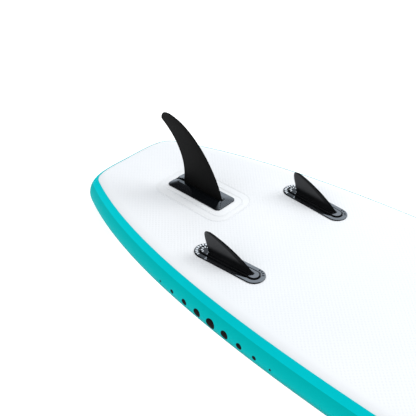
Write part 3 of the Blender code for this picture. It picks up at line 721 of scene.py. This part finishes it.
# The fin box: moulded in glossy black plastic and glued on its patches. The fin's foot slides
# into its T-shaped slot from the rear. It has low ribs at the front, a hole for the lock button
# and a drain hole.
DEEP_BLACK = ((0.0020, 0.0028, 0.0038), (0.0035, 0.0045, 0.0060))
BOX_MIDDLE = 0.378
SLOT_FRONT = 0.4748
SLOT_CUT = 0.26
LOCK = (0.288, -0.0145)
DRAIN = (0.4712, 0.0100)


def glossy_black(name, dark, light, gloss_over, satin_over=1.0, highlight_over=1.0, highlight_to=0.0,
                 shine=2.1):
    """Moulded black plastic: glossy on top, and dull down in its grooves and near the hull.

    Heights are over the hull. From satin_over up it is a satin blade; behind its dark front band,
    and more so away from the hull, its face is painted greyer as a painted reflection. Its raised
    marks are painted light grey from highlight_over up, as far from the tail as highlight_to: a painted
    highlight.
    """
    made = Finish(name, Specular_IOR_Level=0.12, Coat_IOR=shine, Coat_Roughness=0.05)
    up = HULL.to_3x3() @ Vector((0, 0, 1))
    upwards = made.start.node("ShaderNodeVectorMath", {"operation": "DOT_PRODUCT"},
                              {0: made.place, 1: up}, 1)
    height = upwards - up.dot(HULL.translation)
    behind = made.place.part("X") < highlight_to - LENGTH / 2
    # Painted highlight: the raised marks at the rear are painted light grey.
    painted_highlight = height.fade(highlight_over, highlight_over + 0.0003) * (1 - height.fade(0.0074, 0.0076)) * behind
    satin = height.fade(satin_over, satin_over + 0.0004)
    inwards = made.laid.part("Y")
    # Painted reflection: the blade's face behind its dark front band is painted greyer, away from the
    # hull.
    face = inwards.fade(0.0040, 0.0060) * 0.17 + inwards.fade(0.0225, 0.0265) * 0.83
    face = face * satin * height.fade(0.018, 0.036)
    black = face.mix(made.cloudy(25, dark, light), (0.042, 0.043, 0.046))
    made.feed("Base Color", painted_highlight.mix(black, (0.78, 0.84, 0.90)))
    made.feed("Roughness", made.place.noise(60, 3) * 0.10 + satin * 0.22 + 0.16)
    glossy = height.fade(gloss_over, gloss_over + 0.0005) * (1 - satin)
    made.feed("Coat Weight", glossy * (1 - behind * 0.8))
    made.bump(made.place.noise(1500, 2), 0.00002)
    return made.material


def join_solids(obj, other):
    """Weld a second solid onto a piece."""
    finish_with(obj, "BOOLEAN", operation="UNION", solver="EXACT", object=other)
    bpy.data.objects.remove(other, do_unlink=True)


box_gloss = glossy_black("box_gloss", *DEEP_BLACK, 0.0052)
box = block("fin_box_shell", (0.232, 0.089, 0.0035), (BOX_MIDDLE, 0, 0.00425), 0.014)
hips = {"value": (0.793, 0.37, 1), "center_override": (BOX_MIDDLE, 0, 0.014)}
edit(box, ("FACE", top_face(box)),
     (bpy.ops.mesh.extrude_region_move, {"TRANSFORM_OT_translate": {"value": (0, 0, 0.008)}}),
     (bpy.ops.transform.resize, hips))
soften(box, 0.0008, 3, 12)
for x, width, top in ((0.4780, 0.034, 0.0122), (0.4830, 0.046, 0.0105), (0.4880, 0.058, 0.0088)):
    join_solids(box, block("box_rib", (0.0020, width, 0.0050), (x, 0, top - 0.0025), 0.0009, 3))
for name, width, tall, z in (("neck_slot", 0.0116, 0.0200, 0.0180),
                             ("foot_slot", 0.0226, 0.0040, 0.0060)):
    subtract(box, block(name, (SLOT_CUT, width, tall), (SLOT_FRONT - SLOT_CUT / 2, 0, z), 0))
for spot, radius, bottom, steps in ((LOCK, 0.0043, 0.0088, 32), (DRAIN, 0.0026, 0.0095, 24)):
    subtract(box, rod(radius, bottom, 0.03, Matrix.Translation((*spot, 0)), steps))
set_down(box, HULL, 9)
dress(box, box_gloss, slot="fin_box")
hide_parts("fin_box")


# The lock button: a turned knob of the box's plastic, which presses into
# the box. It stands on a small coil of steel wire.
LOCK_PLACE = HULL @ Matrix.Translation((*LOCK, 0))


def loft(name, rings, closed=False, folded=False):
    """A skin over a row of like rings, which is capped at both ends or closed on itself.

    Its chart runs along the rings and round them, or down both sides alike if it is folded.
    """
    rings = np.asarray(rings, float)
    if closed:
        rings = np.concatenate([rings, rings[:1]])
    else:
        caps = [np.repeat(ring.mean(axis=0)[None], len(ring), axis=0) for ring in (rings[0], rings[-1])]
        rings = np.concatenate([caps[:1], rings, caps[1:]])
    rings = np.concatenate([rings, rings[:, :1]], axis=1)
    girth = np.linalg.norm(np.diff(rings, axis=1), axis=2)
    girth = np.concatenate([np.zeros((len(rings), 1)), np.cumsum(girth, axis=1)], axis=1)
    girth = np.minimum(girth, girth[:, -1:] - girth) if folded else girth
    middles = rings[:, :-1].mean(axis=1)
    run = np.concatenate([[0], np.cumsum(np.linalg.norm(np.diff(middles, axis=0), axis=1))])
    obj, row, step = grid(name, rings.shape[0] - 1, rings.shape[1] - 1)
    lay_out(obj, rings[row, step], np.stack([run[row], girth[row, step]], axis=1))
    edit(obj, (bpy.ops.mesh.remove_doubles, {"threshold": 1e-6}),
         (bpy.ops.mesh.normals_make_consistent, {"inside": False}))
    return obj


def turned(name, profile, place, steps=48, crease=35):
    """A piece turned about Z from its outline, a closed line of (radius, height)."""
    radius, height = np.array(profile, float).T
    rings = [np.stack([radius * cos(turn), radius * sin(turn), height], axis=1)
             for turn in np.linspace(0, 2 * pi, steps, endpoint=False)]
    obj = loft(name, rings, closed=True)
    edit(obj, (bpy.ops.mesh.delete_loose, {}))
    return set_down(obj, place, crease)


def coil(name, radius, wire, span, turns, place):
    """A coil spring over a span of heights.
    """
    low, high = span
    around = np.linspace(0, 2 * pi, 8, endpoint=False)
    reach = radius + wire * np.cos(around)
    rings = []
    for share in np.linspace(0, 1, int(turns * 20) + 1):
        turn = 2 * pi * turns * share
        height = low + wire + (high - low - 2 * wire) * share + wire * np.sin(around)
        rings.append(np.stack([reach * cos(turn), reach * sin(turn), height], axis=1))
    spring = loft(name, rings)
    set_down(spring, place)
    dress(spring, steel, slot="steel")
    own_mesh(spring)
    return spring


button = turned("lock_button", [(0, 0.0152), (0.0014, 0.01515), (0.0026, 0.0149), (0.0035, 0.0144),
                                (0.0040, 0.0137), (0.0040, 0.0114), (0, 0.0114)], LOCK_PLACE)
dress(button, box_gloss, "fin_lock", "fin_box")
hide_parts("fin_lock_button")
steel = plain_finish("steel", (0.52, 0.53, 0.55), (0.62, 0.63, 0.65), 40, (0.22, 0.34), 1200, 0.00002,
                     Metallic=1.0)
lock_spring = coil("lock_spring", 0.0027, 0.00016, (0.0091, 0.0111), 2.5, LOCK_PLACE)
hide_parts("fin_lock_spring")


# The centre fin: glass-filled nylon, moulded as one foil with the T-shaped foot that slides in
# the box. It is widest at its foot and sweeps back to a rounded tip.
CENTRE_TALL = 0.246


def even_run(points, count):
    """The same line in equal steps."""
    points = np.asarray(points)
    run = np.concatenate([[0], np.cumsum(np.linalg.norm(np.diff(points, axis=0), axis=1))])
    even = np.linspace(0, run[-1], count)
    return np.stack([np.interp(even, run, points[:, k]) for k in range(points.shape[1])], axis=1)


def foil_rings(front, rear, half_thickness, around=24):
    """Foil sections between a fin's front and rear edges, from its root to its tip."""
    share = (1 - np.cos(np.linspace(0, pi, around + 1))) / 2
    both = np.concatenate([share, share[-2:0:-1]])
    flip = np.concatenate([np.ones(around + 1), -np.ones(around - 1)])
    rings = []
    for (fx, fz), (rx, rz) in zip(front, rear):
        chord = sqrt((fx - rx) ** 2 + (fz - rz) ** 2)
        half = half_thickness(both, chord, (fz + rz) / 2)
        rings.append(np.stack([fx + (rx - fx) * both, flip * half, fz + (rz - fz) * both], axis=1))
    return rings


def section(share):
    """A symmetric foil's half thickness from its front, 0, to its rear, 1; 1 at its thickest."""
    tail = -0.1260 * share - 0.3516 * share ** 2 + 0.2843 * share ** 3 - 0.1036 * share ** 4
    return np.maximum(10 * (0.2969 * np.sqrt(share) + tail), 0)


def centre_half(share, chord, height):
    """Half thickness of the centre fin: thick at the root, thin at the tip, with a blunt edge."""
    thick = (0.0022 + 0.0072 * sqrt(max(0, 1 - height / CENTRE_TALL))) / 2
    edge = np.minimum(1, np.minimum(share, 1 - share) * chord / 0.0006)
    return np.maximum(thick * section(share), 0.0005 * edge)


def satin_black(name, dark, light):
    """Moulded black nylon with a fine grain."""
    made = Finish(name, Specular_IOR_Level=0.05)
    made.feed("Base Color", made.cloudy(12, dark, light))
    grain = made.place.noise(1800, 2)
    made.feed("Roughness", made.place.noise(30, 3) * 0.10 + grain * 0.06 + 0.36)
    made.bump(grain, 0.00003)
    return made.material


fin_nylon = satin_black("fin_nylon", (0.0045, 0.0045, 0.0045), (0.0060, 0.0060, 0.0060))
front_edge = bezier(((0.472, 0.013), (0.451, 0.104), (0.349, 0.2375), (0.238, CENTRE_TALL)), 120)
rear_edge = bezier(((0.2995, 0.013), (0.324, 0.166), (0.167, 0.228), (0.198, 0.219)), 120)
tip = bezier(((0.200, 0.217), (0.200, 0.236), (0.214, CENTRE_TALL), (0.230, CENTRE_TALL)), 30)
rear_edge = np.concatenate([rear_edge[:-1][rear_edge[:-1, 1] < 0.216], tip])
blade = foil_rings(even_run(front_edge, 64), even_run(rear_edge, 64), centre_half)
fin = loft("centre_fin_blade", blade)
for name, width, tall, z in (("fin_neck", 0.011, 0.0085, 0.00965),
                             ("fin_foot", 0.022, 0.0034, 0.0060)):
    join_solids(fin, block(name, (0.1755, width, tall), (0.38675, 0, z), 0))
set_down(fin, HULL, 30)
dress(fin, fin_nylon, "center_fin", "fin")
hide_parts("center_fin")


# The side fins: soft moulded plastic. Each has an oval foot in a bonded oval flange, a dark
# groove between the two, small bars and notches on the flange, and a blade with a dark,
# bevelled front edge. The blade's face behind that edge is painted greyer as a painted
# reflection, and the bars at the rear are painted light grey as a painted highlight.
FLANGE_SIZE = (0.250, 0.071)
FLANGE_BARS = [180 + turn for turn in range(-88, 89, 18)]
FLANGE_NOTCHES = [34, 52, 70, 88]
FOOT_BARS = [100, 140, 180, 220, 260]
SIDE_TALL = 0.079
SIDE_FIN = (0.69, 0.21)
TOE_IN = radians(3.6)


def oval(name, inset, low, high):
    """An oval plate, inset from the flange's outline."""
    length, width = (side - 2 * inset for side in FLANGE_SIZE)
    return block(name, (length, width, high - low), (0, 0, (low + high) / 2), width / 2 - 1e-7, 20)


def rim_ticks(turns, height, reach, size):
    """Short bars round one end of the flange, at these turns from +X."""
    length, width = FLANGE_SIZE
    end = 1 if cos(radians(turns[0])) > 0 else -1
    middle = Matrix.Translation((end * (length - width) / 2, 0, 0))
    ticks = []
    for turn in turns:
        tick = block("tick", size, (reach, 0, height), 0.0009, 3)
        tick.data.transform(middle @ Matrix.Rotation(radians(turn), 4, "Z"))
        ticks.append(tick)
    hold(ticks[0])
    for tick in ticks[1:]:
        tick.select_set(True)
    bpy.ops.object.join()
    return ticks[0]


def side_half(share, chord, height):
    """Half thickness of a side fin: a bevelled front band, flat sides, and a flared root."""
    thick = 0.0027 + 0.0012 * sqrt(max(0, 1 - height / SIDE_TALL))
    flare = 0.0045 * np.exp(-max(0, height - 0.0068) / 0.0020)
    band = 0.0004 + share * chord * 0.47
    rear = 0.0008 + (1 - share) * chord * 0.28
    return (np.minimum(np.minimum(band, rear), thick) + flare) * (share > 0) * (share < 1)


def side_fin_blade():
    """The blade of one side fin, about its foot's middle."""
    front = bezier(((0.092, 0.006), (0.073, 0.024), (0.010, 0.066), (-0.073, SIDE_TALL)), 80)
    rear = bezier(((-0.079, 0.006), (-0.086, 0.036), (-0.096, 0.052), (-0.0945, 0.068)), 40)
    tip = bezier(((-0.0945, 0.0685), (-0.094, 0.075), (-0.088, SIDE_TALL), (-0.080, SIDE_TALL)), 16)
    rear = even_run(np.concatenate([rear, tip]), 48)
    rings = foil_rings(even_run(front, 48), rear, side_half, 28)
    return loft("side_fin_blade", rings, folded=True)


def another(pattern, name, place, crease=40):
    """A copy of a shape, with its own mesh, set down in its place."""
    piece = pattern.copy()
    piece.data = pattern.data.copy()
    piece.name = name
    bpy.context.scene.collection.objects.link(piece)
    return set_down(piece, place, crease)


flange = terrace(oval("side_fin_ring", 0, GLUE, 0.0022), (0.0020, 0.0012))
soften(flange, 0.0006, 2, 30)
join_solids(flange, rim_ticks(FLANGE_BARS, 0.0037, 0.028, (0.0078, 0.0050, 0.0010)))
subtract(flange, rim_ticks(FLANGE_NOTCHES, 0.0029, 0.028, (0.0070, 0.0040, 0.0022)))
subtract(flange, oval("ring_hole", 0.0135, -0.01, 0.02))
foot = terrace(oval("side_fin_foot", 0.0145, GLUE, 0.0012), (0.0030, 0.0), (0.0020, 0.0054))
soften(foot, 0.0005, 2, 30)
join_solids(foot, side_fin_blade())
join_solids(foot, rim_ticks(FOOT_BARS, 0.0069, 0.0118, (0.0066, 0.0036, 0.0010)))
flange_gloss = glossy_black("flange_gloss", *DEEP_BLACK, 0.0022, highlight_over=0.0036, highlight_to=0.621,
                            shine=3.1)
side_fin_black = glossy_black("side_fin_black", (0.0030, 0.0034, 0.0040), (0.0050, 0.0055, 0.0065),
                              0.0061, satin_over=0.0070, highlight_over=0.0068, highlight_to=0.614, shine=3.1)
for side_name, side in (("left", 1), ("right", -1)):
    spot = Matrix.Translation((SIDE_FIN[0], side * SIDE_FIN[1], 0))
    place = HULL @ spot @ Matrix.Rotation(-side * TOE_IN, 4, "Z")
    for pattern, name, material, slot in ((flange, "flange_", flange_gloss, "fin_box"),
                                          (foot, "", side_fin_black, "fin")):
        piece = another(pattern, pattern.name + "_" + side_name, place, 14)
        dress(piece, material, slot=slot)
        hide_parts("side_fin_" + name + side_name)
for pattern in (flange, foot):
    bpy.data.objects.remove(pattern, do_unlink=True)


# The D-rings: bent steel wire held in a folded loop of webbing, which is sewn and welded to a
# round patch on the deck. One at the tail holds the leash, one at the nose is for towing, and
# four near the nose hold luggage.
RING_LIFT = 0.0047
RING_WIRE = 0.00175
RING_HALF = 0.0145
RING_CORNER = 0.0020
WEBBING = 0.0011


def along_path(path, outline, side, closed=False):
    """Rings of an outline carried along a path; side is the direction that stays sideways."""
    path = np.asarray(path, float)
    if closed:
        wrapped = np.concatenate([path[-1:], path, path[:1]])
        heading = wrapped[2:] - wrapped[:-2]
    else:
        heading = np.gradient(path, axis=0)
    heading /= np.linalg.norm(heading, axis=1)[:, None]
    up = np.cross(heading, np.asarray(side, float))
    up /= np.linalg.norm(up, axis=1)[:, None]
    return [p + np.outer(outline[:, 0], side) + np.outer(outline[:, 1], u) for p, u in zip(path, up)]


def round_section(radius, steps=12):
    """A round wire's outline."""
    turn = np.arange(steps) * 2 * pi / steps
    return radius * np.stack([np.cos(turn), np.sin(turn)], axis=1)


def band_section(width, thick):
    """A flat band's outline, with its edges rounded."""
    w, t = width / 2, thick / 2
    half = np.array([(0, t), (w - t, t), (w - 0.3 * t, 0.7 * t), (w, 0), (w - 0.3 * t, -0.7 * t),
                     (w - t, -t)])
    return np.concatenate([half, -half])


def ring_path():
    """The D: a straight bar and a half round, with small corners."""
    half, corner = RING_HALF, RING_CORNER
    points = [(0, y) for y in np.linspace(corner - half, half - corner, 9)]
    points += [(-corner * 0.3, half - corner * 0.3), (-corner, half)]
    points += [(-0.0065 + half * cos(a), half * sin(a)) for a in np.linspace(pi / 2, 1.5 * pi, 25)]
    points += [(-corner, -half), (-corner * 0.3, corner * 0.3 - half)]
    return [(x, y, 0) for x, y in points]


def loop_path():
    """Webbing folded round the ring's bar and sewn back on itself."""
    reach = RING_WIRE + 0.0003 + WEBBING / 2
    path = [(x, 0, RING_LIFT - reach) for x in (0.024, 0.018, 0.012, 0.006)]
    for turn in np.linspace(-pi / 2, -1.5 * pi, 17):
        path.append((reach * cos(turn), 0, RING_LIFT + reach * sin(turn)))
    return path + [(0.004, 0, 0.0063), (0.0075, 0, 0.0045), (0.010, 0, 0.0039), (0.017, 0, 0.0039),
                   (0.024, 0, 0.0039)]


def grey_patch():
    """Grey PVC cloth, with a fine weave under its coat."""
    made = Finish("patch_grey", Specular_IOR_Level=0.4)
    warp, weft = (made.start.math("SINE", made.place.part(axis) * (2 * pi / 0.0012)) for axis in "XY")
    cloud = made.place.noise(20, 4)
    made.feed("Base Color", cloud.fade(0.3, 0.7).mix((0.24, 0.25, 0.27), (0.30, 0.31, 0.33)))
    made.feed("Roughness", cloud * 0.12 + 0.46)
    made.bump(warp * weft * 0.5 + 0.5, 0.00008)
    return made.material


def woven(name, *seams):
    """Black webbing: a ribbed weave, with grey stitches along it at two girths."""
    made = Finish(name, Specular_IOR_Level=0.25)
    run, girth = made.laid.part("X"), made.laid.part("Y")
    rib = made.start.math("SINE", run * (2 * pi / 0.0016)) * 0.5 + 0.5
    warp = made.start.math("SINE", girth * (2 * pi / 0.0011)) * 0.5 + 0.5
    asides = [made.start.math("ABSOLUTE", girth - seam) for seam in seams]
    line = made.start.math("MAXIMUM", *(1 - aside.fade(0.0003, 0.0006) for aside in asides))
    thread = line * (made.start.math("PINGPONG", run, 0.0022) > 0.0005)
    cloth = (rib * warp).mix((0.012, 0.012, 0.014), (0.032, 0.032, 0.036))
    made.feed("Base Color", thread.mix(cloth, (0.10, 0.10, 0.11)))
    made.feed("Roughness", rib * 0.1 + 0.78)
    made.bump(rib * warp + thread * 0.8, 0.0003)
    return made.material


patch_grey = grey_patch()
webbing = woven("webbing_narrow", 0.0035, 0.0085)
disc = turned("ring_patch", [(0, 0.0012), (0.0285, 0.0012), (0.0296, 0.0010), (0.0300, 0.0006),
                             (0.0300, 0.0004), (0, 0.0004)], Matrix(), 64)
sewn = loft("ring_loop", along_path(loop_path(), band_section(0.022, WEBBING), (0, 1, 0)))
wire = loft("ring", along_path(ring_path(), round_section(RING_WIRE), (0, 0, 1), True), True)
RINGS = [("leash_ring", 0.24, 0.0, 0.0, 0.0), ("tow_ring", 2.90, 0.0, pi, 0.0)]
cargo_places = [(x, y) for x in (2.16, 2.52) for y in (0.17, -0.17)]
RINGS += [(f"cargo_ring_{number}", x, y, pi, pi / 2)
          for number, (x, y) in enumerate(cargo_places, 1)]
for name, x, y, turn, hang in RINGS:
    site = deck_site(x, y, turn)
    swung = site @ Matrix.Translation((0, 0, RING_LIFT)) @ Matrix.Rotation(hang, 4, "Y")
    for pattern, node, place, material, body, slot in (
            (disc, name + "_patch", site, patch_grey, "board", "grey_patch"),
            (sewn, name + "_loop", site, webbing, "board", "webbing"),
            (wire, name, swung, steel, name, "steel")):
        piece = another(pattern, "fitted_" + node, place)
        dress(piece, material, body, slot)
        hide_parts(node)
for pattern in (disc, sewn, wire):
    bpy.data.objects.remove(pattern, do_unlink=True)


# The carry handle: a webbing strap sewn to two welded patches, with a foam grip round its
# middle that a hand fits behind.
GRIP_HEIGHT = 0.042
HANDLE_SPREAD = 0.135
handle_site = deck_site(HANDLE)
for end_name, end in (("rear", -1), ("front", 1)):
    patch = block("handle_pad_" + end_name, (0.085, 0.070, 0.0012), (0, 0, 0.0010), 0.014, 8)
    soften(patch, 0.0004, 2, 50)
    set_down(patch, deck_site(HANDLE + end * HANDLE_SPREAD))
    dress(patch, patch_grey, slot="grey_patch")
    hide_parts("handle_patch_" + end_name)
half_strap = [(0.168, 0.0037), (0.150, 0.0037), (0.125, 0.0037), (0.118, 0.0041), (0.112, 0.0055),
              (0.104, 0.0125), (0.096, 0.0215), (0.088, 0.0295), (0.082, 0.0340), (0.077, 0.0376),
              (0.072, 0.0403), (0.062, GRIP_HEIGHT), (0.030, GRIP_HEIGHT)]
strap_path = [(x, 0, z) for x, z in half_strap + [(-x, z) for x, z in reversed(half_strap)]]
strap = loft("carry_strap", along_path(strap_path, band_section(0.038, 0.0024), (0, 1, 0)))
set_down(strap, handle_site)
wide_webbing = woven("webbing_wide", 0.0140, 0.0175)
dress(strap, wide_webbing, slot="webbing")
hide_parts("handle_strap")
grip = block("foam_grip", (0.112, 0.050, 0.021), (0, 0, 0), 0.0085, 6)
soften(grip, 0.0085, 6, 50)
subtract(grip, block("strap_way", (0.2, 0.0386, 0.0030), (0, 0, 0), 0))
set_down(grip, handle_site @ Matrix.Translation((0, 0, GRIP_HEIGHT)))
grip_foam = plain_finish("grip_foam", (0.020, 0.020, 0.022), (0.032, 0.032, 0.035), 60, (0.74, 0.88),
                         1300, 0.00025)
dress(grip, grip_foam, slot="grip_foam")
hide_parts("handle_grip")


# The inflation valve: a body clamped through the deck by a nut and a gasket inside the board,
# a sprung stem with a rubber disc, and a cap on a quarter turn with a bar to turn it by.
valve_site = deck_site(VALVE)
valve_plastic = plain_finish("valve_plastic", (0.055, 0.056, 0.060), (0.075, 0.077, 0.082), 30,
                             (0.34, 0.46), 1500, 0.00003)
rubber = plain_finish("rubber", (0.018, 0.018, 0.018), (0.028, 0.028, 0.028), 40, (0.6, 0.75),
                      1500, 0.00005)
cap = turned("valve_lid", [(0, 0.0086), (0.0270, 0.0085), (0.0290, 0.0082), (0.0302, 0.0075),
                           (0.0305, 0.0066), (0.0305, 0.0056), (0.0154, 0.0056), (0.0154, 0.0004),
                           (0.0130, 0.0004), (0.0130, 0.0056), (0, 0.0056)], Matrix(), 64)
bar = soften(block("cap_bar", (0.044, 0.0070, 0.0040), (0, 0, 0.0100), 0.0034, 6), 0.0008, 3, 50)
join_solids(cap, bar)
set_down(cap, valve_site)
dress(cap, valve_plastic, "valve_cap", "valve")
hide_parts("valve_cap")
for node in ("valve_body", "valve_nut", "valve_stem"):
    dress(NODES[node], valve_plastic)
for node in ("valve_gasket", "valve_disc", "valve_cap_seal"):
    dress(NODES[node], rubber)
return_spring = coil("return_spring", 0.0033, 0.0004, (-0.0117, -0.0037), 3.5, valve_site)
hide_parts("valve_spring")
